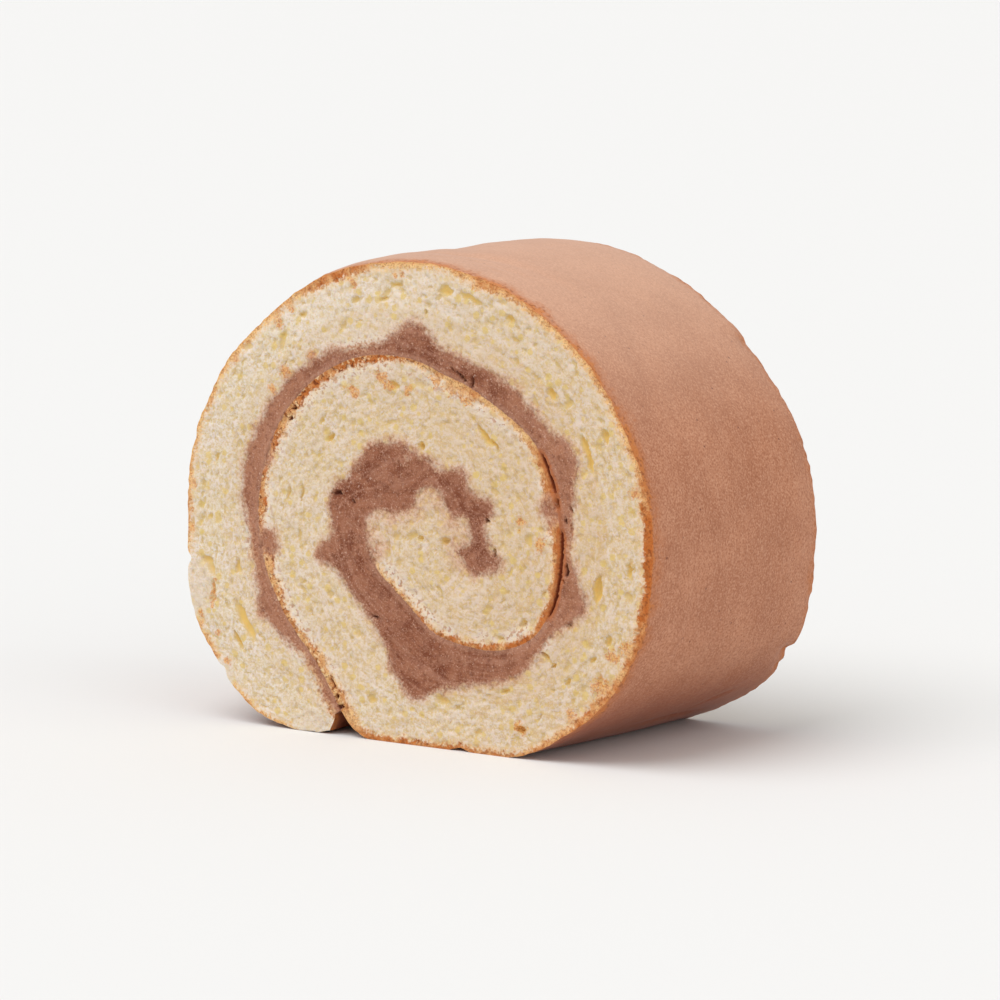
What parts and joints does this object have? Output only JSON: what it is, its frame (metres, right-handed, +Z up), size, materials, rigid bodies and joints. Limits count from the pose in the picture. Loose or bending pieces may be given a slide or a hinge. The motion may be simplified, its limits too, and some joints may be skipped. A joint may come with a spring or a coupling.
{
  "type": "swiss roll cake",
  "caption": "Short length of a swiss roll: pale sponge with a browned skin, wound round brown cream and cut square at both ends.",
  "frame": {"origin": "on the floor, under the middle of the roll's box", "axes": "+Z up; the roll's axis lies along Y, and the cut face with the sheet's loose end at its lower left looks towards -Y; +X is across the roll"},
  "size_m": [0.0964, 0.044, 0.0783],
  "materials": {
    "sponge": "pale cream-yellow open crumb at both cuts, with a thin tan-brown baked skin on the outside of every turn",
    "cream": "soft matte mauve-brown cream, fine grained, slightly lumpy"
  },
  "bodies": {
    "root": {"sponge": "sponge", "cream": "cream"}
  },
  "joints": []
}
